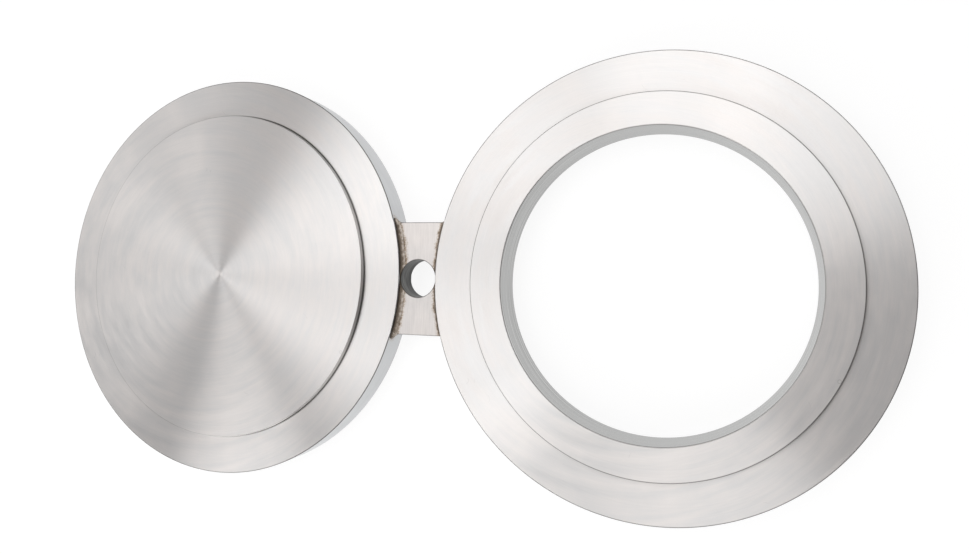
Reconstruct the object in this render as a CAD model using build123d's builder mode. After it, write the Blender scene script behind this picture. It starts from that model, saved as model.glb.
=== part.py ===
from build123d import *
from math import asin, degrees, sqrt
import os

# A spectacle blind for a raised-face pipe flange joint: a solid plate and a spacer ring, held
# side by side by a welded tie bar with a bolt hole through its middle. Millimetres.
# Frame: +X runs from the blind plate to the ring, and +Z out of the front faces. The origin is
# on the bolt hole's axis, in the plane of the back raised faces, which the part lies on.

# --- Both plates ---
plate_diameter = 397.0        # the rim fits inside the flange's circle of bolts
raised_face_diameter = 324.0  # the gasket's seat, as on the flange
raised_face_height = 5.0      # on each side of the rim
rim_thickness = 25.0
step_root_slope = 1.2         # leg of the sloped root of each raised face, left by the tool's nose
edge_break = 0.5              # on the turned outer edges and the bar's long edges

# --- Spacer ring ---
bore_diameter = 266.0         # the line's inside diameter
bore_edge_break = 0.8

# --- Tie bar ---
bar_width = 105.0
bar_setback = 2.5             # from a rim's face down to the bar's face
bolt_hole_diameter = 35.0
hole_edge_break = 0.5
hole_land = 1.0               # of the bar, between the bolt hole and each rim

# --- Welds ---
face_bead_width = 3.5         # on the bar's faces
corner_bead_leg = 4.0         # down the four corners between the bar's sides and the rims

# --- Worked out from the sizes above ---
plate_radius = plate_diameter / 2
raised_face_radius = raised_face_diameter / 2
bore_radius = bore_diameter / 2
bolt_hole_radius = bolt_hole_diameter / 2
total_thickness = rim_thickness + 2 * raised_face_height
middle_height = total_thickness / 2
centre_distance = plate_diameter + bolt_hole_diameter + 2 * hole_land
ring_x = centre_distance / 2
blind_x = -ring_x
bar_thickness = rim_thickness - 2 * bar_setback
half_bar_width = bar_width / 2
corner_reach = sqrt(plate_radius**2 - half_bar_width**2)  # along X, from a plate to a bar corner
corner_angle = degrees(asin(half_bar_width / plate_radius))
bar_length = centre_distance - 2 * corner_reach           # over the tips of its coped ends
face_bead_height = bar_setback - edge_break               # it stops at the rim's broken edge
corner_bead_height = bar_thickness + face_bead_height     # over its round ends
corner_bead_straight = corner_bead_height - 2 * corner_bead_leg

# --- Turned section, the same for both plates ---
# One half of it, from the axis out, about the middle plane. The rim is one rectangle and the
# raised faces stand out of it as another. Every outer corner is broken by edge_break, and the
# roots of the steps slope into the rim where the nose of the lathe tool turned the corner.
with BuildSketch() as turned_section:
    Rectangle(plate_radius, rim_thickness, align=(Align.MIN, Align.CENTER))
    Rectangle(raised_face_radius, total_thickness, align=(Align.MIN, Align.CENTER))
    step_column = turned_section.vertices().group_by(Axis.X)[1].sort_by(Axis.Y)
    chamfer(step_column[1:3], step_root_slope)
    columns = turned_section.vertices().group_by(Axis.X)
    face_corners = columns[1].sort_by(Axis.Y)
    chamfer([face_corners[0], face_corners[-1]] + list(columns[-1]), edge_break)

# --- Blind plate: turned, and solid right through ---
with BuildPart() as blind_plate:
    with BuildSketch(Plane((blind_x, 0, middle_height), x_dir=(1, 0, 0), z_dir=(0, -1, 0))):
        add(turned_section.sketch)
    revolve(axis=Axis((blind_x, 0, 0), (0, 0, 1)))

# --- Spacer ring: the same plate, bored to the line's inside diameter ---
with BuildPart() as spacer_ring:
    with BuildSketch(Plane((ring_x, 0, middle_height), x_dir=(1, 0, 0), z_dir=(0, -1, 0))):
        add(turned_section.sketch)
    revolve(axis=Axis((ring_x, 0, 0), (0, 0, 1)))
    with Locations((ring_x, 0, middle_height)):
        Hole(bore_radius)
    chamfer(spacer_ring.edges(Select.LAST).filter_by(GeomType.CIRCLE), bore_edge_break)

# --- Tie bar: flat bar, with its ends coped to the rims and a bolt hole through it ---
with BuildPart() as tie_bar:
    with BuildSketch(Plane.XY.offset(middle_height)):
        Rectangle(bar_length, bar_width)
        with Locations((blind_x, 0), (ring_x, 0)):
            Circle(plate_radius, mode=Mode.SUBTRACT)
    extrude(amount=bar_thickness / 2, both=True)
    chamfer(tie_bar.edges().filter_by(Axis.X), edge_break)
    with Locations((0, 0, middle_height)):
        Hole(bolt_hole_radius)
    chamfer(tie_bar.edges(Select.LAST).filter_by(GeomType.CIRCLE), hole_edge_break)

# --- Weld on the blind plate: a bead all round the bar's coped end ---
# A thin fillet bead follows the rim across each face of the bar, and a thick one with round ends
# runs down each end corner. What would lie in the plate, in the bar or in the bolt's way comes
# off, so the bead seats on both pieces and stops at the hole.
with BuildPart() as blind_weld:
    to_corner = Vector(corner_reach, -half_bar_width, 0)
    bead_section_plane = Plane(
        (blind_x, 0, middle_height), x_dir=to_corner, z_dir=to_corner.cross(Vector(0, 0, 1))
    )
    with BuildSketch(bead_section_plane):
        with BuildLine():
            Polyline(
                (plate_radius, bar_thickness / 2),
                (plate_radius + face_bead_width, bar_thickness / 2),
                (plate_radius, bar_thickness / 2 + face_bead_height),
                close=True,
            )
        make_face()
        mirror(about=Plane.XZ)
    revolve(axis=Axis((blind_x, 0, 0), (0, 0, 1)), revolution_arc=2 * corner_angle)
    corner_x = blind_x + corner_reach
    with Locations(
        (corner_x, -half_bar_width, middle_height), (corner_x, half_bar_width, middle_height)
    ):
        Cylinder(corner_bead_leg, corner_bead_straight)
        with Locations((0, 0, -corner_bead_straight / 2), (0, 0, corner_bead_straight / 2)):
            Sphere(corner_bead_leg)
    add(blind_plate.part, mode=Mode.SUBTRACT)
    add(tie_bar.part, mode=Mode.SUBTRACT)
    with Locations((0, 0, middle_height)):
        Hole(bolt_hole_radius + hole_edge_break)

# --- Weld on the ring: the same bead on the bar's other end ---
with BuildPart() as ring_weld:
    mirror(blind_weld.part, about=Plane.YZ)

blind_plate.part.label = "blind_plate"
spacer_ring.part.label = "spacer_ring"
tie_bar.part.label = "tie_bar"
blind_weld.part.label = "blind_weld"
ring_weld.part.label = "ring_weld"

os.makedirs("parts", exist_ok=True)
export_step(blind_plate.part, "parts/blind_plate.step")
export_step(spacer_ring.part, "parts/spacer_ring.step")
export_step(tie_bar.part, "parts/tie_bar.step")
export_step(blind_weld.part, "parts/blind_weld.step")
export_step(ring_weld.part, "parts/ring_weld.step")
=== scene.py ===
# %% [markdown]
# # A spectacle blind in turned stainless steel
#
# A spectacle blind sits between two pipe flanges. Its solid plate shuts the line, its ring
# leaves the line open, and the tie bar between them carries the bolt that it swings on. The
# whole thing lies flat on a table here. Blender works in metres, and so does this file.
#
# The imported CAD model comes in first. It is the fixed frame: every new piece takes its place
# from the boxes of the CAD pieces, so nothing has to be fitted by eye.

# %% Load the CAD model
import math
import bmesh
import bpy
from mathutils import Matrix, Vector


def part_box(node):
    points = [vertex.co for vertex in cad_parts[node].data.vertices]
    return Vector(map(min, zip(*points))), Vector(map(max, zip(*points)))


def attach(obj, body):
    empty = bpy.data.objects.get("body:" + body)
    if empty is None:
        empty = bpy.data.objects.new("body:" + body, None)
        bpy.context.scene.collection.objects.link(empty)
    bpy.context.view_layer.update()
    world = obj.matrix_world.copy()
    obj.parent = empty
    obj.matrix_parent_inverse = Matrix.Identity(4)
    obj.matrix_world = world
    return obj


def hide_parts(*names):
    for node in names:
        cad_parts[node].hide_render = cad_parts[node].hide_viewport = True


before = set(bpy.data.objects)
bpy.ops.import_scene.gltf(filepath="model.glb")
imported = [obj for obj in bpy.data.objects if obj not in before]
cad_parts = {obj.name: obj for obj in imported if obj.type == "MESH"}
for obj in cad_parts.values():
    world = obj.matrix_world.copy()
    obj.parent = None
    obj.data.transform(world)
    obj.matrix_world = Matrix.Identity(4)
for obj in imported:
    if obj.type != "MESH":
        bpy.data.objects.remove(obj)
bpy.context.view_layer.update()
print("CAD pieces:", sorted(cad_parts))

# %% [markdown]
# ## Sizes
#
# The outer diameter, the thickness and the two centres can be read from the CAD boxes. The sizes
# inside a piece can't, so they are written out once, in millimetres times MM.

# %% Read and name the sizes
MM = 0.001
blind_low, blind_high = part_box("blind_plate")
ring_low, ring_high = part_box("spacer_ring")
bar_low, bar_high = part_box("tie_bar")

blind_x = (blind_low.x + blind_high.x) / 2
ring_x = (ring_low.x + ring_high.x) / 2
plate_radius = (blind_high.x - blind_low.x) / 2
plate_thickness = blind_high.z - blind_low.z
raised_face_radius = 162 * MM
raised_face_height = 5 * MM
bore_radius = 133 * MM
bolt_hole_radius = 17.5 * MM
rim_bottom, rim_top = raised_face_height, plate_thickness - raised_face_height
rim_half = (rim_top - rim_bottom) / 2
half_bar_width = (bar_high.y - bar_low.y) / 2
bar_thickness = bar_high.z - bar_low.z
print(f"plates {2000 * plate_radius:.1f} mm across, {1000 * plate_thickness:.1f} mm thick,"
      f" at x = {blind_x:.4f} and {ring_x:.4f} m")

# %% [markdown]
# ## The turned plates
#
# Both plates are lathe work. In Blender a lathe part can be a cylinder with insets and
# extrusions, a profile with a Screw modifier, or a profile that is spun with bmesh. The spin is
# the closest to the real cut: one half section, carried once round the axis. 384 steps keep the
# big outside edge round. Where the section starts on the axis, its end points pile up there, so
# the doubles are merged and the normals worked out again afterwards.

# %% Spin a half section
TURN_STEPS = 384

def half_section(inner_radius):
    """Corners as (radius, height): out along the front, round the rim and back along the rear."""
    return [(inner_radius, plate_thickness), (raised_face_radius, plate_thickness),
            (raised_face_radius, rim_top), (plate_radius, rim_top),
            (plate_radius, rim_bottom), (raised_face_radius, rim_bottom),
            (raised_face_radius, 0), (inner_radius, 0)]

def turn(section, closed):
    """Spins a half section once round the Z axis."""
    bm = bmesh.new()
    corners = [bm.verts.new((radius, 0, height)) for radius, height in section]
    pairs = list(zip(corners, corners[1:])) + ([(corners[-1], corners[0])] if closed else [])
    lines = [bm.edges.new(pair) for pair in pairs]
    bmesh.ops.spin(bm, geom=corners + lines, cent=(0, 0, 0), axis=(0, 0, 1), dvec=(0, 0, 0),
                   angle=math.tau, steps=TURN_STEPS, use_merge=True, use_duplicate=False)
    bmesh.ops.remove_doubles(bm, verts=bm.verts, dist=0.001 * MM)
    bmesh.ops.recalc_face_normals(bm, faces=bm.faces)
    return bm

# %% [markdown]
# ## Broken edges and tool-nose roots
#
# No turned edge is razor sharp. The lathe hand breaks each outer corner, and the round nose of
# the tool leaves a small curve in each inner corner. A Bevel modifier would treat all of them
# alike, so the rings of edges are picked by radius and height and bevelled one kind at a time.

# %% Bevel rings of edges
EDGE_BREAK, BORE_EDGE_BREAK, NOSE_ROUND = 0.5 * MM, 0.8 * MM, 1.2 * MM
EDGE_SEGMENTS, NOSE_SEGMENTS = 3, 4
NEAR = 0.01 * MM                  # closer than this counts as the same place

def bevel_edges(bm, edges, width, segments):
    bmesh.ops.bevel(bm, geom=edges, offset=width, offset_type="OFFSET", affect="EDGES",
                    segments=segments, profile=0.5, material=-1, clamp_overlap=True)

def is_level(edge):
    """Whether both ends of an edge are equally high."""
    return abs(edge.verts[0].co.z - edge.verts[1].co.z) < NEAR

def break_rings(bm, rings, width, segments):
    """Bevels the circular edges that lie at any of the (radius, height) rings."""
    def on_ring(vert):
        radius = math.hypot(vert.co.x, vert.co.y)
        return any(abs(radius - r) < NEAR and abs(vert.co.z - z) < NEAR for r, z in rings)
    edges = [e for e in bm.edges if on_ring(e.verts[0]) and on_ring(e.verts[1]) and is_level(e)]
    bevel_edges(bm, edges, width, segments)
    return len(edges)

def finish_turning(bm):
    """Gives both plates the same broken corners and curved roots."""
    outer = [(raised_face_radius, 0), (raised_face_radius, plate_thickness),
             (plate_radius, rim_bottom), (plate_radius, rim_top)]
    roots = [(raised_face_radius, rim_bottom), (raised_face_radius, rim_top)]
    return (break_rings(bm, outer, EDGE_BREAK, EDGE_SEGMENTS),
            break_rings(bm, roots, NOSE_ROUND, NOSE_SEGMENTS))

# %% [markdown]
# ## From a bmesh to a finished piece
#
# Each new piece stands for one CAD piece. Its shape goes into the mesh and its object stays at
# the origin. Faces are smooth, and edges sharper than 35 degrees keep a crisp line. Smooth
# shading would also tilt the light on a wide flat face next to a narrow bevel. A Weighted Normal
# modifier stops that: the biggest face at a corner decides which way the corner faces. The wall
# of a hole is cut with another tool, so its faces get the piece's second material.

# %% Hand a piece over
SHARP_ANGLE = math.radians(35)

def mark_hole_wall(bm, radius, margin):
    """Gives the second material to the faces inside a radius round the Z axis."""
    for face in bm.faces:
        if face.calc_center_median().xy.length < radius + margin:
            face.material_index = 1

def make_piece(name, bm, materials, node, flat_faces=True):
    """Turns a bmesh into an object that stands for a CAD node."""
    mesh = bpy.data.meshes.new(name)
    bm.to_mesh(mesh)
    bm.free()
    mesh.polygons.foreach_set("use_smooth", [True] * len(mesh.polygons))
    mesh.set_sharp_from_angle(angle=SHARP_ANGLE)
    for material in materials:
        mesh.materials.append(material)
    piece = bpy.data.objects.new(name, mesh)
    bpy.context.scene.collection.objects.link(piece)
    if flat_faces:
        keep_flat = piece.modifiers.new("flat_faces_stay_flat", "WEIGHTED_NORMAL")
        keep_flat.weight, keep_flat.keep_sharp = 100, True
    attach(piece, "root")
    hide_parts(node)
    print(f"{name}: {len(mesh.polygons)} faces")

# %% [markdown]
# ## A short way to write nodes
#
# A material is a graph. Placing one node and wiring its inputs takes several lines in Python,
# so one helper does both: an input that is given a socket is linked, and any other value is
# written on the socket. The helpers after it write the most common nodes as one expression.

# %% Node helpers
def set_inputs(tree, node, inputs):
    """Links each input that is given a socket, and writes any other value on it."""
    for name, value in inputs.items():
        if isinstance(value, bpy.types.NodeSocket):
            tree.links.new(value, node.inputs[name])
        else:
            node.inputs[name].default_value = value

def add_node(tree, kind, inputs=None, **settings):
    """Places a node, sets its options and links or sets its inputs."""
    node = tree.nodes.new(kind)
    for name, value in settings.items():
        setattr(node, name, value)
    set_inputs(tree, node, inputs or {})
    return node

def add_math(tree, operation, *values):
    return add_node(tree, "ShaderNodeMath", dict(enumerate(values)),
                    operation=operation).outputs[0]

def add_sum(tree, first, *rest):
    """Adds values up, from the last to the first."""
    return add_math(tree, "ADD", first, add_sum(tree, *rest)) if rest else first

def add_product(tree, first, second):
    return add_math(tree, "MULTIPLY", first, second)

def add_vector(tree, operation, *values):
    return add_node(tree, "ShaderNodeVectorMath", dict(enumerate(values)),
                    operation=operation).outputs["Vector"]

def add_length(tree, vector):
    return add_node(tree, "ShaderNodeVectorMath", {0: vector}, operation="LENGTH").outputs["Value"]

def add_scaled(tree, vector, factor):
    return add_node(tree, "ShaderNodeVectorMath", {0: vector, "Scale": factor},
                    operation="SCALE").outputs["Vector"]

def split(tree, vector):
    """The X, Y and Z of a vector."""
    return add_node(tree, "ShaderNodeSeparateXYZ", {"Vector": vector}).outputs

def join(tree, **parts):
    """A vector from its parts."""
    return add_node(tree, "ShaderNodeCombineXYZ", parts).outputs[0]

def remap(tree, value, start, end, at_start=0.0, at_end=1.0):
    """Goes from at_start to at_end while the value goes from start to end."""
    return add_node(tree, "ShaderNodeMapRange",
                    {"Value": value, "From Min": start, "From Max": end,
                     "To Min": at_start, "To Max": at_end}).outputs[0]

def add_noise(tree, vector, scale, detail, roughness=0.5, distortion=0.0):
    return add_node(tree, "ShaderNodeTexNoise",
                    {"Vector": vector, "Scale": scale, "Detail": detail,
                     "Roughness": roughness, "Distortion": distortion}).outputs[0]

def mix_colour(tree, factor, first, second):
    # The sockets for colours have the same names as the others, so they go by number.
    return add_node(tree, "ShaderNodeMix", {0: factor, 6: first, 7: second},
                    data_type="RGBA").outputs[2]

def add_ramp(tree, factor, stops):
    """A Color Ramp with its stops given as (position, colour)."""
    node = add_node(tree, "ShaderNodeValToRGB", {"Fac": factor})
    elements = node.color_ramp.elements
    for index, (position, colour) in enumerate((stops[0], stops[-1])):
        elements[index].position, elements[index].color = position, colour
    for position, colour in stops[1:-1]:
        elements.new(position).color = colour
    return node.outputs["Color"]

def new_group(name, inputs, outputs):
    """An empty shader group with named sockets, and the sockets to wire inside it."""
    group = bpy.data.node_groups.new(name, "ShaderNodeTree")
    for socket, kind, value in inputs:
        made = group.interface.new_socket(name=socket, in_out="INPUT", socket_type=kind)
        if value is not None:
            made.default_value = value
    for socket, kind in outputs:
        group.interface.new_socket(name=socket, in_out="OUTPUT", socket_type=kind)
    return group, group.nodes.new("NodeGroupInput").outputs, group.nodes.new("NodeGroupOutput")

def use_group(tree, group, inputs):
    """Places a group in a material with its own values."""
    return add_node(tree, "ShaderNodeGroup", inputs, node_tree=group).outputs

# %% [markdown]
# ## Tool lines
#
# Turning, boring, drilling and belt grinding all leave fine parallel lines. Only the direction
# differs, so one group serves them all. It is told how far a point lies across the lines and a
# slow coordinate along them. Noise that is squeezed hard across the lines makes lines that fade
# in and out, as real ones do. A Wave texture would make them too even.

# %% Group: tool lines
BROAD_PITCHES = 11.0              # from one broad streak to the next
BROAD_HEIGHT = 1.5                # how high the broad streaks are, against the fine lines

tool_lines, lines_in, lines_out = new_group(
    "Tool lines",
    [("Across", "NodeSocketFloat", 0.0), ("Along", "NodeSocketVector", None),
     ("Pitch", "NodeSocketFloat", 0.0006)],
    [("Fine", "NodeSocketFloat"), ("Broad", "NodeSocketFloat"), ("Height", "NodeSocketFloat")])

def lines_noise(pitches, detail, roughness):
    """One layer of stretched noise, with lines this many pitches apart."""
    apart = add_product(tool_lines, lines_in["Pitch"], pitches)
    across = add_math(tool_lines, "DIVIDE", lines_in["Across"], apart)
    place = add_vector(tool_lines, "ADD", join(tool_lines, X=across), lines_in["Along"])
    return add_noise(tool_lines, place, 1.0, detail, roughness)

fine_lines = lines_noise(pitches=1.0, detail=2.0, roughness=0.6)
broad_lines = lines_noise(pitches=BROAD_PITCHES, detail=3.0, roughness=0.55)
set_inputs(tool_lines, lines_out, {
    "Fine": fine_lines, "Broad": broad_lines,
    "Height": add_sum(tool_lines, fine_lines, add_product(tool_lines, broad_lines, BROAD_HEIGHT))})
print("tool lines:", len(tool_lines.nodes), "nodes")

# %% [markdown]
# ## Signs of handling
#
# A plate that has been lifted, measured and wiped has faint cloudy patches and a few short
# scratches. The patches are low, soft noise. A scratch is the thin line along which another
# noise passes through its middle value, kept only where a third noise is high, so that it is
# short.

# %% Group: handling marks
SCRATCH_WIDTH = 0.0022            # as a change in the noise that draws it
SCRATCHES_START, SCRATCHES_FULL = 0.66, 0.72    # how high the third noise has to be

handling, handling_in, handling_out = new_group(
    "Handling marks", [("Vector", "NodeSocketVector", None)],
    [("Cloud", "NodeSocketFloat"), ("Scratch", "NodeSocketFloat")])
cloud = add_noise(handling, handling_in["Vector"], scale=22.0, detail=4.0, distortion=0.4)
curl = add_noise(handling, handling_in["Vector"], scale=34.0, detail=1.0)
from_middle = add_math(handling, "ABSOLUTE", add_math(handling, "SUBTRACT", curl, 0.5))
thin = remap(handling, from_middle, 0.0, SCRATCH_WIDTH, at_start=1.0, at_end=0.0)
chance = remap(handling, add_noise(handling, handling_in["Vector"], scale=61.0, detail=1.0),
               SCRATCHES_START, SCRATCHES_FULL)
set_inputs(handling, handling_out,
           {"Cloud": cloud, "Scratch": add_product(handling, thin, chance)})
print("handling marks:", len(handling.nodes), "nodes")

# %% [markdown]
# ## Heat tint
#
# Stainless steel that gets hot beside a weld grows an oxide film: dark brown at the weld, then
# straw, then clean metal, with a ragged front. The group takes the distance from the weld and
# gives a colour and a mask. Noise on the distance makes the front ragged.

# %% Group: heat tint
TINT_STOPS = [(0.0, (0.10, 0.078, 0.060, 1)), (0.30, (0.26, 0.205, 0.155, 1)),
              (0.60, (0.46, 0.405, 0.355, 1)), (0.95, (0.60, 0.565, 0.53, 1))]
RAGGEDNESS = 1.1                  # as a share of the tint's reach
TINT_SOLID_SHARE = 0.35           # of the reach, before the tint starts to fade

heat_tint, heat_in, heat_out = new_group(
    "Heat tint",
    [("Vector", "NodeSocketVector", None), ("Distance", "NodeSocketFloat", 1.0),
     ("Reach", "NodeSocketFloat", 0.006)],
    [("Color", "NodeSocketColor"), ("Mask", "NodeSocketFloat")])

def tint_push(scale, detail):
    """How far one noise pushes the front, back or forth."""
    noise = add_noise(heat_tint, heat_in["Vector"], scale, detail)
    return add_product(heat_tint, add_math(heat_tint, "SUBTRACT", noise, 0.5), RAGGEDNESS)

tint_share = add_sum(
    heat_tint, add_math(heat_tint, "DIVIDE", heat_in["Distance"], heat_in["Reach"]),
    tint_push(scale=700.0, detail=3.0), tint_push(scale=120.0, detail=2.0))
set_inputs(heat_tint, heat_out, {
    "Color": add_ramp(heat_tint, tint_share, TINT_STOPS),
    "Mask": remap(heat_tint, tint_share, TINT_SOLID_SHARE, 1.0, at_start=1.0, at_end=0.0)})
print("heat tint:", len(heat_tint.nodes), "nodes")

# %% [markdown]
# ## Dark edge lines
#
# Seen closely, a turned piece is drawn with thin dark lines at every broken edge and every root,
# where it turns away from the light or lies in shade: these lines are painted shade. This group
# marks a ring round an axis. It takes a point's radius and its height from the middle plane, and
# returns 1 at the ring and 0 at a short reach from it. The height's sign is dropped, so both sides
# match.

# %% Group: edge line
SOLID_SHARE = 0.3                 # of the reach, before the line starts to fade

edge_line, edge_in, edge_out = new_group(
    "Edge line",
    [("Radius", "NodeSocketFloat", 0.0), ("Height", "NodeSocketFloat", 0.0),
     ("Edge Radius", "NodeSocketFloat", 0.1), ("Edge Height", "NodeSocketFloat", 0.01),
     ("Reach", "NodeSocketFloat", 0.001)],
    [("Mask", "NodeSocketFloat")])
from_radius = add_math(edge_line, "SUBTRACT", edge_in["Radius"], edge_in["Edge Radius"])
from_height = add_math(edge_line, "SUBTRACT",
                       add_math(edge_line, "ABSOLUTE", edge_in["Height"]), edge_in["Edge Height"])
from_edge = add_length(edge_line, join(edge_line, X=from_radius, Y=from_height))
reach_share = add_math(edge_line, "DIVIDE", from_edge, edge_in["Reach"])
set_inputs(edge_line, edge_out, {
    "Mask": remap(edge_line, reach_share, SOLID_SHARE, 1.0, at_start=1.0, at_end=0.0)})
print("edge line:", len(edge_line.nodes), "nodes")

# %% [markdown]
# ## What every steel here shares
#
# Each steel starts from a metallic Principled shader and ends with a colour, a roughness and a
# very low bump. Turned and ground steel also spread the light across their tool lines. The
# Principled shader does this with Anisotropic, and its Tangent input says which way the lines
# run. A Mapping node moves the zero of the pattern to the axis that the tool turned round.

# %% Material helpers
# The colour of the painted shade along edges and roots.
PAINTED_EDGE_SHADE = (0.085, 0.081, 0.077, 1)
SQUARE_TO_TANGENT = 0.25          # of a turn: the light spreads across the lines

def empty_material(name):
    material = bpy.data.materials.new(name)
    material.use_nodes = True
    material.node_tree.nodes.clear()
    return material, material.node_tree

def start_steel(name):
    """A material with a metallic shader and nothing on it yet."""
    material, tree = empty_material(name)
    surface = add_node(tree, "ShaderNodeBsdfPrincipled", {"Metallic": 1.0})
    add_node(tree, "ShaderNodeOutputMaterial", {"Surface": surface.outputs[0]})
    return material, tree, surface

def finish_steel(tree, surface, colour, roughness, bump_height, bump_strength, bump_depth):
    bump = add_node(tree, "ShaderNodeBump", {"Height": bump_height, "Strength": bump_strength,
                                             "Distance": bump_depth})
    set_inputs(tree, surface, {"Base Color": colour, "Roughness": roughness,
                               "Normal": bump.outputs[0]})

def spread_light(tree, surface, amount, lines_direction):
    set_inputs(tree, surface, {"Anisotropic": amount, "Anisotropic Rotation": SQUARE_TO_TANGENT,
                               "Tangent": lines_direction})

def object_coordinates(tree):
    return tree.nodes.new("ShaderNodeTexCoord").outputs["Object"]

def moved_zero(tree, place, x, z=0.0):
    """Coordinates with their zero on another axis."""
    return add_node(tree, "ShaderNodeMapping",
                    {"Vector": place, "Location": (-x, 0, -z)}).outputs[0]

def flattened(tree, place):
    """Coordinates with no height, whose length is the distance from the Z axis."""
    return add_vector(tree, "MULTIPLY", place, (1, 1, 0))

def rim_distance(tree, place, plate_x):
    """How far a point lies outside one plate's rim."""
    return add_math(tree, "SUBTRACT",
                    add_length(tree, flattened(tree, moved_zero(tree, place, plate_x))),
                    plate_radius)

def darken_edges(tree, radius, height, colour, edges):
    """Paints shade as dark edge lines, given as (radius, height, reach, strength), over a colour.
    """
    for edge_radius, edge_height, reach, strength in edges:
        line = use_group(tree, edge_line, {
            "Radius": radius, "Height": height, "Edge Radius": edge_radius,
            "Edge Height": edge_height, "Reach": reach})
        colour = mix_colour(tree, add_product(tree, line["Mask"], strength), colour, PAINTED_EDGE_SHADE)
    return colour

# %% [markdown]
# ## Turned steel
#
# A freshly turned face is a bundle of circular grooves. Light spreads across the grooves and
# hardly at all along them, which is what draws the bright fans that meet at the centre. The
# Tangent is the Z axis crossed with the direction from the plate's own centre. The metal goes
# from cool to warm in soft patches, and the outer wall is darker and cooler in colour than the
# faces.

# %% Material: turned steel
COOL_STEEL, WARM_STEEL = (0.734, 0.727, 0.722, 1), (0.750, 0.727, 0.712, 1)
WALL_STEEL, SCRATCHED_STEEL = (0.672, 0.682, 0.692, 1), (0.42, 0.41, 0.40, 1)
SCRATCH_STRENGTH = 0.55
TURNING_PITCH = 0.55 * MM
CHANGE_ALONG = 30.0               # how fast the lines change along their own length
# Heat tint with painted shade on the rim beside the bar: its reach, and how fast its distance
# grows.
BLIND_RIM_TINT_AND_SHADE, RING_RIM_TINT_AND_SHADE = 9.0 * MM, 4.0 * MM   # how far heat tint runs over each rim
SPREAD_BELOW, SPREAD_ABOVE = 0.45, 7.0          # how fast the tint's distance grows there
FAINT_RIM_LINE = 0.2              # strength beside the bar, against 1 elsewhere
RIM_LINE_CHANGE = 5 * MM          # over which it comes back

def to_welded_bar(tree, parts, height):
    """How far a point lies beside the bar, and the distance that its heat tint and painted shade
    follow, which also grows above the bar's level and below its front face."""
    beside = add_math(tree, "SUBTRACT", add_math(tree, "ABSOLUTE", parts["Y"]), half_bar_width)
    above = add_math(tree, "SUBTRACT", add_math(tree, "ABSOLUTE", height), bar_thickness / 2)
    below = add_math(tree, "MAXIMUM", 0.0,
                     add_math(tree, "SUBTRACT", bar_thickness / 2, height))
    to_bar = add_math(tree, "MAXIMUM",
                      add_sum(tree, beside, add_product(tree, below, SPREAD_BELOW)),
                      add_product(tree, above, SPREAD_ABOVE))
    return beside, to_bar

def turned_steel(name, plate_x, edges, tint_and_shade_reach):
    """Satin turned steel round one plate's axis, with heat tint and painted shade on the rim
    beside the bar.
    """
    material, tree, surface = start_steel(name)
    centred = moved_zero(tree, object_coordinates(tree), plate_x, plate_thickness / 2)
    flat = flattened(tree, centred)
    radius = add_length(tree, flat)
    groove = add_vector(tree, "CROSS_PRODUCT", (0, 0, 1), add_vector(tree, "NORMALIZE", flat))
    parts = split(tree, centred)
    height = parts["Z"]
    lines = use_group(tree, tool_lines, {
        "Across": add_sum(tree, radius, height),
        "Along": add_scaled(tree, centred, CHANGE_ALONG), "Pitch": TURNING_PITCH})
    marks = use_group(tree, handling, {"Vector": centred})
    # How light the metal is: line by line, streak by streak and patch by patch.
    tone = add_sum(tree, add_product(tree, lines["Fine"], 0.04),
                   add_product(tree, lines["Broad"], 0.09),
                   add_product(tree, marks["Cloud"], 0.09))
    light = remap(tree, tone, 0.08, 0.14, at_start=0.93, at_end=1.05)
    warmth = remap(tree, add_sum(tree, marks["Cloud"], lines["Broad"]), 0.80, 1.20)
    # The outer wall gets a darker, cooler colour. off_wall is 0 on it and 1 on the faces.
    off_wall = remap(tree, add_math(tree, "SUBTRACT", plate_radius, radius),
                     0.05 * MM, 0.45 * MM)
    clean = mix_colour(tree, off_wall, WALL_STEEL,
                       mix_colour(tree, warmth, COOL_STEEL, WARM_STEEL))
    colour = mix_colour(tree, add_product(tree, marks["Scratch"], SCRATCH_STRENGTH),
                        add_scaled(tree, clean, light), SCRATCHED_STEEL)
    # Heat tint, with painted shade in the corner beside the bar: only on the rim's wall, and only
    # on the side that faces the bolt hole.
    beside, to_bar = to_welded_bar(tree, parts, height)
    inward = add_product(tree, parts["X"], -math.copysign(1.0, plate_x))
    far_side = add_math(tree, "LESS_THAN", inward, 0.0)
    tinted = use_group(tree, heat_tint, {
        "Vector": centred, "Reach": tint_and_shade_reach,
        "Distance": add_sum(tree, to_bar, off_wall, far_side)})
    colour = mix_colour(tree, tinted["Mask"], colour, tinted["Color"])
    # The painted shade along the rim's edge is faint beside the bar.
    rim_line = remap(tree, add_sum(tree, beside, far_side), 0.0, RIM_LINE_CHANGE,
                     at_start=FAINT_RIM_LINE)
    colour = darken_edges(tree, radius, height, colour,
                          edges + [(plate_radius, rim_half, 1.0 * MM, rim_line)])
    rough = add_sum(tree, 0.265, add_product(tree, lines["Broad"], 0.11),
                    add_product(tree, marks["Cloud"], 0.06))
    spread_light(tree, surface, amount=0.925, lines_direction=groove)
    finish_steel(tree, surface, colour, rough, lines["Height"], bump_strength=0.5,
                 bump_depth=0.004 * MM)
    return material

# Edge lines of painted shade, as (radius, height, reach, strength). The step's edge gets its
# strength later.
step_root = (raised_face_radius, rim_half, 1.7 * MM, 1.0)
step_edge = (raised_face_radius, plate_thickness / 2, 0.95 * MM)

# %% [markdown]
# ## Blind plate
#
# Solid right through. Its half section runs from the axis out along the front raised face, down
# the step to the rim, round the edge and back along the rear. The open ends lie on the axis.

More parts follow.
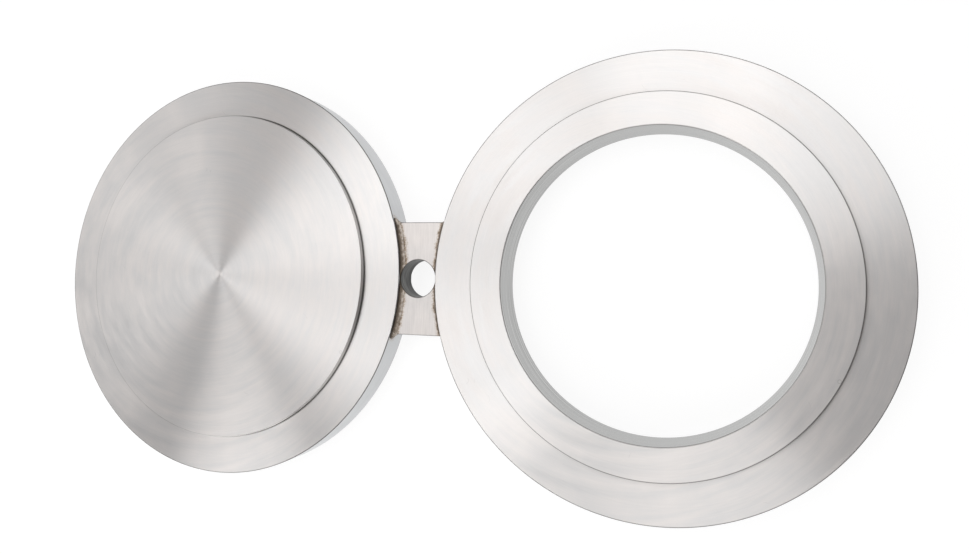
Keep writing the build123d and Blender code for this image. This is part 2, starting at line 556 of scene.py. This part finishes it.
# %% Make the blind plate
blind_steel = turned_steel("turned_steel_blind", blind_x,
                           [step_root, (*step_edge, 0.4)], BLIND_RIM_TINT_AND_SHADE)
blind_bm = turn(half_section(0), closed=False)
print("edges broken and rounded:", finish_turning(blind_bm))
bmesh.ops.translate(blind_bm, verts=blind_bm.verts, vec=(blind_x, 0, 0))
make_piece("turned_blind_plate", blind_bm, [blind_steel], "blind_plate")

# %% [markdown]
# ## Bored wall
#
# The ring's bore is cut by a boring bar, so its lines run round the wall, one above the other.
# It is a material of its own because it is duller than the faces. The drilled bolt hole uses it
# too, with a much darker colour, coarser lines and less light towards its back end.

# %% Material: bored steel
def bored_steel(name, hole_x, base, roughness, pitch, lip, back_shade):
    """The wall of a bored or drilled hole, with painted shade at its lips, given as (radius,
    height).
    back_shade is how light it is at its back end, against 1 in front."""
    material, tree, surface = start_steel(name)
    centred = moved_zero(tree, object_coordinates(tree), hole_x, plate_thickness / 2)
    flat = flattened(tree, centred)
    height = split(tree, centred)["Z"]
    lines = use_group(tree, tool_lines, {
        "Across": height, "Along": add_vector(tree, "NORMALIZE", flat), "Pitch": pitch})
    light = remap(tree, lines["Fine"], 0.3, 0.7, at_start=0.55, at_end=1.45)
    depth = remap(tree, height, -lip[1], 0.3 * lip[1], at_start=back_shade)
    metal = add_scaled(tree, base, add_product(tree, light, depth))
    colour = darken_edges(tree, add_length(tree, flat), height, metal, [(*lip, 1.1 * MM, 0.7)])
    finish_steel(tree, surface, colour, roughness, lines["Height"], bump_strength=0.6,
                 bump_depth=0.02 * MM)
    return material

# %% [markdown]
# ## Spacer ring
#
# The same plate with the line's bore through it, so its half section is a closed loop. The bore's
# own edges get a slightly wider break, because that is where a hand slides in.

# %% Make the spacer ring
# The bore's edges get painted shade as well.
bore_edge = (bore_radius, plate_thickness / 2, 1.1 * MM, 0.6)
ring_steel = turned_steel("turned_steel_ring", ring_x,
                          [step_root, (*step_edge, 0.9), bore_edge], RING_RIM_TINT_AND_SHADE)
bore_steel = bored_steel("bored_steel", ring_x, base=(0.44, 0.442, 0.437), roughness=0.34,
                         pitch=0.7 * MM, lip=(bore_radius, plate_thickness / 2), back_shade=1.0)
ring_bm = turn(half_section(bore_radius), closed=True)
finish_turning(ring_bm)
break_rings(ring_bm, [(bore_radius, 0), (bore_radius, plate_thickness)], BORE_EDGE_BREAK,
            EDGE_SEGMENTS)
mark_hole_wall(ring_bm, bore_radius, margin=0.05 * MM)
bmesh.ops.translate(ring_bm, verts=ring_bm.verts, vec=(ring_x, 0, 0))
make_piece("turned_spacer_ring", ring_bm, [ring_steel, bore_steel], "spacer_ring")

# %% [markdown]
# ## Tie bar
#
# A flat bar with its ends cut to the two rims and a bolt hole through it. A Boolean would make
# it from a block and three cylinders, but leaves long thin faces. Growing it out of the hole
# keeps every face simple: a circle for the hole, one extrusion out to the bar's edge, where each
# point slides along its own ray until it meets a side or a rim, and one extrusion down.

# %% Make the tie bar
HOLE_STEPS = 128

def bar_reach(angle):
    """How far the bar goes from the bolt hole's axis in a direction."""
    along, across = math.cos(angle), math.sin(angle)
    to_side = half_bar_width / max(abs(across), 1e-9)
    centre = ring_x * abs(along)
    inside = centre ** 2 - (ring_x ** 2 - plate_radius ** 2)
    to_rim = centre - math.sqrt(inside) if inside > 0 else math.inf
    return min(to_side, to_rim)

def make_bar():
    """The bar with sharp edges. The point nearest to each corner is put right on it."""
    bm = bmesh.new()
    bmesh.ops.create_circle(bm, segments=HOLE_STEPS, radius=bolt_hole_radius,
                            matrix=Matrix.Translation((0, 0, bar_high.z)))
    grown = bmesh.ops.extrude_edge_only(bm, edges=list(bm.edges))
    edge_points = [g for g in grown["geom"] if isinstance(g, bmesh.types.BMVert)]
    corner_x = ring_x - math.sqrt(plate_radius ** 2 - half_bar_width ** 2)
    corner_angle = math.atan2(half_bar_width, corner_x)
    for vert in edge_points:
        angle = math.atan2(vert.co.y, vert.co.x)
        folded = abs(angle) if abs(angle) < math.pi / 2 else math.pi - abs(angle)
        if abs(folded - corner_angle) < math.pi / HOLE_STEPS:
            vert.co.xy = (math.copysign(corner_x, vert.co.x),
                          math.copysign(half_bar_width, vert.co.y))
        else:
            vert.co.xy = bar_reach(angle) * Vector((math.cos(angle), math.sin(angle)))
    whole = bmesh.ops.extrude_face_region(bm, geom=list(bm.faces))
    down = [g for g in whole["geom"] if isinstance(g, bmesh.types.BMVert)]
    bmesh.ops.translate(bm, verts=down, vec=(0, 0, bar_low.z - bar_high.z))
    bmesh.ops.recalc_face_normals(bm, faces=bm.faces)
    return bm

def bar_edges(bm):
    """The hole's two rims and the four long edges of the bar."""
    def round_hole(edge):
        return all(abs(v.co.xy.length - bolt_hole_radius) < NEAR for v in edge.verts)
    def long_side(edge):
        return all(abs(abs(v.co.y) - half_bar_width) < NEAR for v in edge.verts)
    return [e for e in bm.edges if is_level(e) and (round_hole(e) or long_side(e))]

bar_bm = make_bar()
bevel_edges(bar_bm, bar_edges(bar_bm), EDGE_BREAK, EDGE_SEGMENTS)
mark_hole_wall(bar_bm, bolt_hole_radius, margin=0.1 * MM)
print("bar faces:", len(bar_bm.faces))

# %% [markdown]
# ## Ground bar steel
#
# The bar is finished on a belt, with straight lines along its width. Its ends were beside the
# weld, so they carry heat tint, which starts just inside the toe of each bead. The distance from
# each rim is the radius round that plate's axis less the plate's own radius.

# %% Material: ground bar steel
BLIND_BEAD, RING_BEAD = 5.5 * MM, 2.4 * MM      # how far each bead reaches over the bar
BLIND_TINT, RING_TINT = 5.5 * MM, 4.5 * MM      # how far the heat tint goes on from there
COOL_GROUND, WARM_GROUND = (0.612, 0.597, 0.590, 1), (0.600, 0.562, 0.538, 1)
BELT_PITCH, BELT_CHANGE_ALONG = 0.9 * MM, 45.0

def ground_steel(name):
    """Belt-ground bar, with lines across it and heat tint at the toes of the two beads."""
    material, tree, surface = start_steel(name)
    place = object_coordinates(tree)
    parts = split(tree, place)
    slow = join(tree, Y=add_product(tree, parts["Y"], BELT_CHANGE_ALONG),
                Z=add_product(tree, parts["Z"], BELT_CHANGE_ALONG))
    lines = use_group(tree, tool_lines,
                      {"Across": parts["X"], "Along": slow, "Pitch": BELT_PITCH})
    marks = use_group(tree, handling, {"Vector": place})
    light = remap(tree, add_sum(tree, lines["Fine"], lines["Broad"], marks["Cloud"]),
                  1.1, 1.9, at_start=0.87, at_end=1.10)
    colour = add_scaled(tree, mix_colour(tree, marks["Cloud"], COOL_GROUND, WARM_GROUND), light)
    for plate_x, bead_width, reach in ((blind_x, BLIND_BEAD, BLIND_TINT),
                                       (ring_x, RING_BEAD, RING_TINT)):
        from_toe = add_math(tree, "SUBTRACT", rim_distance(tree, place, plate_x),
                            bead_width - 0.25 * reach)
        tinted = use_group(tree, heat_tint, {"Vector": place, "Distance": from_toe,
                                             "Reach": reach})
        colour = mix_colour(tree, tinted["Mask"], colour, tinted["Color"])
    height = add_math(tree, "SUBTRACT", parts["Z"], plate_thickness / 2)
    # Painted shade along the bar's long edges and round the bolt hole's rims.
    colour = darken_edges(tree, add_math(tree, "ABSOLUTE", parts["Y"]), height, colour,
                          [(half_bar_width, bar_thickness / 2, 0.8 * MM, 0.9)])
    colour = darken_edges(tree, add_length(tree, flattened(tree, place)), height, colour,
                          [(bolt_hole_radius, bar_thickness / 2, 1.0 * MM, 0.9)])
    rough = add_sum(tree, 0.38, add_product(tree, lines["Broad"], 0.12))
    spread_light(tree, surface, amount=0.5, lines_direction=join(tree, Y=1.0))
    finish_steel(tree, surface, colour, rough, lines["Height"], bump_strength=0.5,
                 bump_depth=0.005 * MM)
    return material

bar_steel = ground_steel("ground_bar_steel")
hole_steel = bored_steel("drilled_steel", 0, base=(0.150, 0.151, 0.147), roughness=0.5,
                         pitch=2.2 * MM, lip=(bolt_hole_radius, bar_thickness / 2),
                         back_shade=0.4)
make_piece("coped_tie_bar", bar_bm, [bar_steel, hole_steel], "tie_bar")

# %% [markdown]
# ## Weld beads
#
# A bead runs all round each end of the bar: along the rim's wall across both faces, round the
# two front corners in a wrap, which is fat on the blind plate and slight on the ring, and then
# thinly down the bar's sides. A tube along a curve would be too even. Here one oval after another
# is set along the joint and bridged to the next, and each oval's size follows the welder's
# rhythm. The line of the joint comes first. It is worked out flat, as if the rim's wall were
# unrolled, with the four corners rounded.

# %% The line of the joint
BEAD_STEP = 0.4 * MM              # from one oval to the next
CORNER_ROUND, CORNER_STEPS = 1.5 * MM, 8
joint_half_length = plate_radius * math.asin(half_bar_width / plate_radius)
joint_half_height = bar_thickness / 2
joint_middle = (bar_high.z + bar_low.z) / 2

def joint_line():
    """Points and outward directions, unrolled: along the rim and up, all the way round."""
    half_l, half_h = joint_half_length, joint_half_height
    corners = [(half_l, half_h, 0), (half_l, -half_h, -90), (-half_l, -half_h, -180),
               (-half_l, half_h, -270)]
    points = []
    for s, h, facing in corners:
        cs, ch = s - math.copysign(CORNER_ROUND, s), h - math.copysign(CORNER_ROUND, h)
        for k in range(CORNER_STEPS + 1):
            a = math.radians(90 + facing - 90 * k / CORNER_STEPS)
            points.append((cs + CORNER_ROUND * math.cos(a), ch + CORNER_ROUND * math.sin(a), a))
    closed = points + points[:1]
    line = []
    for (s0, h0, a0), (s1, h1, a1) in zip(closed, closed[1:]):
        length = math.hypot(s1 - s0, h1 - h0)
        count = max(1, round(length / BEAD_STEP))
        turn_by = math.remainder(a1 - a0, math.tau)
        line += [(s0 + (s1 - s0) * k / count, h0 + (h1 - h0) * k / count,
                  a0 + turn_by * k / count) for k in range(count)]
    return line

joint = joint_line()
print("the joint has", len(joint), "stations")

# %% [markdown]
# ## Ovals along the joint
#
# Each oval swells quickly and shrinks slowly, once for every drop of filler, and its outer side
# is drawn ahead, so that from above the drops lie on each other like scales. About half of each
# oval is buried in the metal, as a real bead is. None of it rises far over the bar, because it
# was brushed down there, and it narrows where the bolt hole comes close.

# %% Build one bead
OVAL_POINTS = 20
BEAD_RISE = 0.8 * MM              # the most that a bead rises over the bar
THIN_RUN = 0.8 * MM               # how far it stands off the bar, except at a wrap
RIM_OVERLAP = 0.3 * MM            # half of how far it reaches into the rim
DROP_LENGTH = 2.1 * MM            # along the bead, for each drop of filler
DROP_LEAN = 1.1 * MM              # how far the outer side of a drop is drawn ahead
HOLE_GAP = 0.6 * MM               # kept free round the bolt hole
NARROWEST, LOWEST = 0.45 * MM, 0.4 * MM         # beside the bolt hole

def bead_rhythm(length, seed):
    """The swell of the bead at a length along it, about 1."""
    drop = (length / DROP_LENGTH + 0.15 * math.sin(length / (7 * MM) + seed)) % 1.0
    swell = (1 - drop) ** 1.5 * min(1, drop / 0.12)
    lump = (0.09 * math.sin(length / (5.3 * MM) + seed)
            + 0.07 * math.sin(length / (2.9 * MM) + 2 * seed))
    return 0.92 + 0.16 * swell + lump

def bead_size(h, facing, reach, wrap):
    """Half width over the bar, half height off it, and how far off the rim the oval sits."""
    side = abs(math.cos(facing)) ** 1.5                       # 0 on the faces, 1 on the sides
    front = max(0.0, min(1.0, (h + joint_half_height) / (2 * joint_half_height)))
    fat = THIN_RUN + (wrap - THIN_RUN) * front ** 2.5         # a wrap in front, a thin run behind
    over = (1 - side) * (reach / 2 + RIM_OVERLAP) + side * fat * 0.8
    off = (1 - side) * THIN_RUN + side * fat
    shift = (1 - side) * (reach / 2 - RIM_OVERLAP)
    return over, off, shift

def press_flat(height):
    """Keeps the bead low over both faces of the bar, however fat it is."""
    above = abs(height - joint_middle) - joint_half_height
    if above <= 0:
        return height
    pressed = joint_half_height + BEAD_RISE * math.tanh(above / BEAD_RISE)
    return joint_middle + math.copysign(pressed, height - joint_middle)

def make_bead(plate_x, toward, seed, reach, wrap):
    """A closed bead round one end of the bar. toward is +1 if the bar is at the plate's +X."""
    bm = bmesh.new()
    up = Vector((0, 0, 1))
    loops, length, before = [], 0.0, joint[-1]
    for s, h, facing in joint:
        length += math.hypot(s - before[0], h - before[1])
        before = (s, h)
        turn_angle = s / plate_radius
        out = Vector((toward * math.cos(turn_angle), math.sin(turn_angle), 0))
        round_rim = Vector((-toward * math.sin(turn_angle), math.cos(turn_angle), 0))
        away = math.cos(facing) * round_rim + math.sin(facing) * up
        ahead = out.cross(away)
        over_bar, off_bar, shift = bead_size(h, facing, reach, wrap)
        axis_point = Vector((plate_x, 0, joint_middle + h))
        centre = axis_point + (plate_radius + shift) * out
        # It narrows where the bolt hole comes close.
        hole_edge = math.sqrt(max(0, (bolt_hole_radius + HOLE_GAP) ** 2 - centre.y ** 2))
        room = max(NARROWEST, abs(plate_x + plate_radius * out.x) - hole_edge)
        if hole_edge > 0 and room < over_bar + shift:
            narrow = room / (over_bar + shift)
            over_bar, shift = over_bar * narrow, shift * narrow
            off_bar = min(off_bar, LOWEST + room * 0.6)
            centre = axis_point + (plate_radius + shift) * out
        swell = bead_rhythm(length, seed)
        sides = Matrix((out * over_bar * swell, away * off_bar * swell, ahead)).transposed()
        oval = bmesh.ops.create_circle(bm, segments=OVAL_POINTS, radius=1.0,
                                       matrix=Matrix.Translation(centre) @ sides.to_4x4())
        for vert in oval["verts"]:
            lift = vert.co - centre
            lean = max(0.0, lift.dot(out) / over_bar) * max(0.0, lift.dot(away) / off_bar)
            vert.co += ahead * DROP_LEAN * min(1, lean * 2)
            vert.co.z = press_flat(vert.co.z)
        loops.append(list({e for v in oval["verts"] for e in v.link_edges}))
    for loop, following in zip(loops, loops[1:] + loops[:1]):
        bmesh.ops.bridge_loops(bm, edges=loop + following)
    bmesh.ops.recalc_face_normals(bm, faces=bm.faces)
    return bm

# %% [markdown]
# ## Weld metal
#
# The bead is matt. Its inner half, along the rim's wall, is nearly black: dark weld metal, with
# painted shade where the bead stands steep beside the wall. From there it fades through brown to
# the straw colour of the bar at its toe, with beige specks where the wire brush has touched it. So
# the colour follows the distance from the rim, as a share of the bead's width, with noise to break
# it up.

# %% Material: weld metal
# The nearly black stops are partly painted shade beside the rim's wall.
WELD_STOPS = [(0.15, (0.105, 0.087, 0.070, 1)), (0.50, (0.110, 0.088, 0.069, 1)),
              (0.78, (0.24, 0.20, 0.165, 1)), (1.0, (0.46, 0.42, 0.38, 1))]
CORNER_ZONE = 3.5 * MM            # how far in from the bar's sides the wraps are brushed

def weld_metal(name, plate_x, reach, crest):
    """As-welded metal. crest is the colour of the brushed parts."""
    material, tree, surface = start_steel(name)
    place = object_coordinates(tree)
    grain = add_noise(tree, place, scale=900.0, detail=3.0)
    patch = add_noise(tree, place, scale=330.0, detail=2.0)
    worn = remap(tree, add_sum(tree, grain, patch), 0.80, 1.15)
    share = add_sum(tree, add_math(tree, "DIVIDE", rim_distance(tree, place, plate_x), reach),
                    add_product(tree, add_math(tree, "SUBTRACT", patch, 0.5), 0.9))
    # The brush touched the tops of the drops, in the middle and outer part of the bead.
    tops = remap(tree, share, 0.45, 0.95, at_end=0.6)
    # It also touched the wraps round the bar's corners.
    corner = remap(tree, add_math(tree, "ABSOLUTE", split(tree, place)["Y"]),
                   half_bar_width - CORNER_ZONE, half_bar_width)
    off_rim = remap(tree, share, 0.20, 0.45, at_end=0.9)
    brushed = add_math(tree, "MAXIMUM", tops, add_product(tree, corner, off_rim))
    colour = mix_colour(tree, add_product(tree, worn, brushed),
                        add_ramp(tree, share, WELD_STOPS), crest)
    rough = add_sum(tree, 0.36, add_product(tree, patch, 0.25))
    finish_steel(tree, surface, colour, rough, grain, bump_strength=0.6, bump_depth=0.12 * MM)
    return material

blind_weld_steel = weld_metal("weld_steel_blind", blind_x, BLIND_BEAD,
                              crest=(0.50, 0.45, 0.40, 1))
ring_weld_steel = weld_metal("weld_steel_ring", ring_x, RING_BEAD, crest=(0.36, 0.31, 0.265, 1))
blind_bead = make_bead(blind_x, toward=1, seed=0.4, reach=BLIND_BEAD, wrap=4.6 * MM)
make_piece("blind_weld_bead", blind_bead, [blind_weld_steel], "blind_weld",
           flat_faces=False)
ring_bead = make_bead(ring_x, toward=-1, seed=2.2, reach=RING_BEAD, wrap=1.0 * MM)
make_piece("ring_weld_bead", ring_bead, [ring_weld_steel], "ring_weld",
           flat_faces=False)

# %% [markdown]
# ## Table
#
# A plain white floor. Where the camera, a glossy ray or a transmitted ray meets it, a little of
# its own light is added, so that the lit floor just reaches white and the soft shadow of the
# plates stays on it.

# %% Floor
FLOOR_HALF_SIZE = 8.0
FLOOR_GAP = 0.2 * MM              # below the plates, so that the faces don't share a plane
FLOOR_GREY = (0.18, 0.18, 0.18, 1)
FLOOR_GLOW = 0.86

def make_floor():
    """The floor under the plates. The floor, on the stage and outside the export."""
    bm = bmesh.new()
    bmesh.ops.create_grid(bm, x_segments=1, y_segments=1, size=FLOOR_HALF_SIZE,
                          matrix=Matrix.Translation((0, 0, -FLOOR_GAP)))
    mesh = bpy.data.meshes.new("floor")
    bm.to_mesh(mesh)
    bm.free()
    floor = bpy.data.objects.new("floor", mesh)
    bpy.context.scene.collection.objects.link(floor)
    material, tree = empty_material("white_floor")
    matt = add_node(tree, "ShaderNodeBsdfDiffuse", {"Color": FLOOR_GREY})
    path = tree.nodes.new("ShaderNodeLightPath").outputs
    seen = add_math(tree, "MAXIMUM", path["Is Camera Ray"],
                    add_math(tree, "MAXIMUM", path["Is Glossy Ray"],
                             path["Is Transmission Ray"]))
    glow = add_node(tree, "ShaderNodeEmission", {
        "Color": (1, 1, 1, 1), "Strength": add_product(tree, seen, FLOOR_GLOW)})
    both = add_node(tree, "ShaderNodeAddShader", {0: matt.outputs[0], 1: glow.outputs[0]})
    add_node(tree, "ShaderNodeOutputMaterial", {"Surface": both.outputs[0]})
    mesh.materials.append(material)

make_floor()

# %% [markdown]
# ## Light
#
# Brushed metal shows the room. Eight round softboxes hang over the table, and each of them draws
# one fan of light on each plate. The world is an even, faint and slightly warm studio, which keeps
# the gaps between the fans dark.

# %% Softboxes and world
SOFTBOX_DISTANCE = 1.8
STUDIO_COLOUR, STUDIO_STRENGTH = (1.0, 0.958, 0.955, 1), 0.245

def softbox(name, azimuth, elevation, radius, radiance):
    """A round lamp that faces the bolt hole, with the brightness its surface shows."""
    a, e = math.radians(azimuth), math.radians(elevation)
    place = SOFTBOX_DISTANCE * Vector((math.cos(a) * math.cos(e), math.sin(a) * math.cos(e),
                                       math.sin(e)))
    lamp = bpy.data.lights.new(name, "AREA")
    lamp.shape = "DISK"
    lamp.size = 2 * radius
    lamp.energy = radiance * math.pi * math.pi * radius ** 2
    holder = bpy.data.objects.new(name, lamp)
    holder.location = place
    holder.rotation_euler = (-place).to_track_quat("-Z", "Y").to_euler()
    bpy.context.scene.collection.objects.link(holder)
    return lamp.energy

for name, azimuth, elevation, radius, radiance in (
        ("softbox_left", 174, 65, 0.81, 0.89),
        ("softbox_far", 106, 66, 0.75, 1.09),
        ("softbox_far_low", 81, 54, 0.45, 1.01),
        ("softbox_right", 38, 63, 0.41, 1.52),
        ("softbox_near", 282, 45, 0.75, 1.20),
        ("softbox_near_left", 202, 67, 0.36, 1.16),
        ("softbox_low_left", 234, 24, 0.62, 2.62),
        ("softbox_low_far", 156, 20, 0.81, 0.30)):
    print(name, f"{softbox(name, azimuth, elevation, radius, radiance):.1f} W")

world = bpy.data.worlds.new("studio")
bpy.context.scene.world = world
world.use_nodes = True
set_inputs(world.node_tree, world.node_tree.nodes["Background"],
           {"Color": STUDIO_COLOUR, "Strength": STUDIO_STRENGTH})

# %% [markdown]
# ## Camera
#
# The camera stands close, above the ring and a little to the right, and looks down and to the
# left. That is why the ring looks round and the blind plate looks narrow. The lens is shifted a
# little, because the view is a cut from a wider one.

# %% Camera
CAMERA_PLACE, CAMERA_TARGET = Vector((0.2727, -0.0013, 0.5505)), Vector((0.1274, 0.0254, 0.0175))
CAMERA_ROLL = math.radians(1.34)
LENS, SENSOR_WIDTH = 22.98, 36    # millimetres
LENS_SHIFT = (-0.0711, -0.0246)

def make_camera(place, target, roll):
    """A camera that is turned about its own view by the roll."""
    data = bpy.data.cameras.new("camera")
    data.sensor_width = SENSOR_WIDTH
    data.lens = LENS
    data.shift_x, data.shift_y = LENS_SHIFT
    look = (target - place).normalized()
    right = look.cross(Vector((0, 1, 0))).normalized()
    up = right.cross(look)
    turned_right = math.cos(roll) * right + math.sin(roll) * up
    turned_up = turned_right.cross(look)
    camera = bpy.data.objects.new("camera", data)
    camera.matrix_world = (Matrix.Translation(place)
                           @ Matrix((turned_right, turned_up, -look)).transposed().to_4x4())
    bpy.context.scene.collection.objects.link(camera)
    bpy.context.scene.camera = camera
    return camera

camera = make_camera(CAMERA_PLACE, CAMERA_TARGET, CAMERA_ROLL)
print("camera at", tuple(round(v, 3) for v in camera.location))

# %% [markdown]
# ## Colour management
#
# The Standard view transform shows each colour as it was written.

# %% Finish
bpy.context.scene.view_settings.view_transform = "Standard"
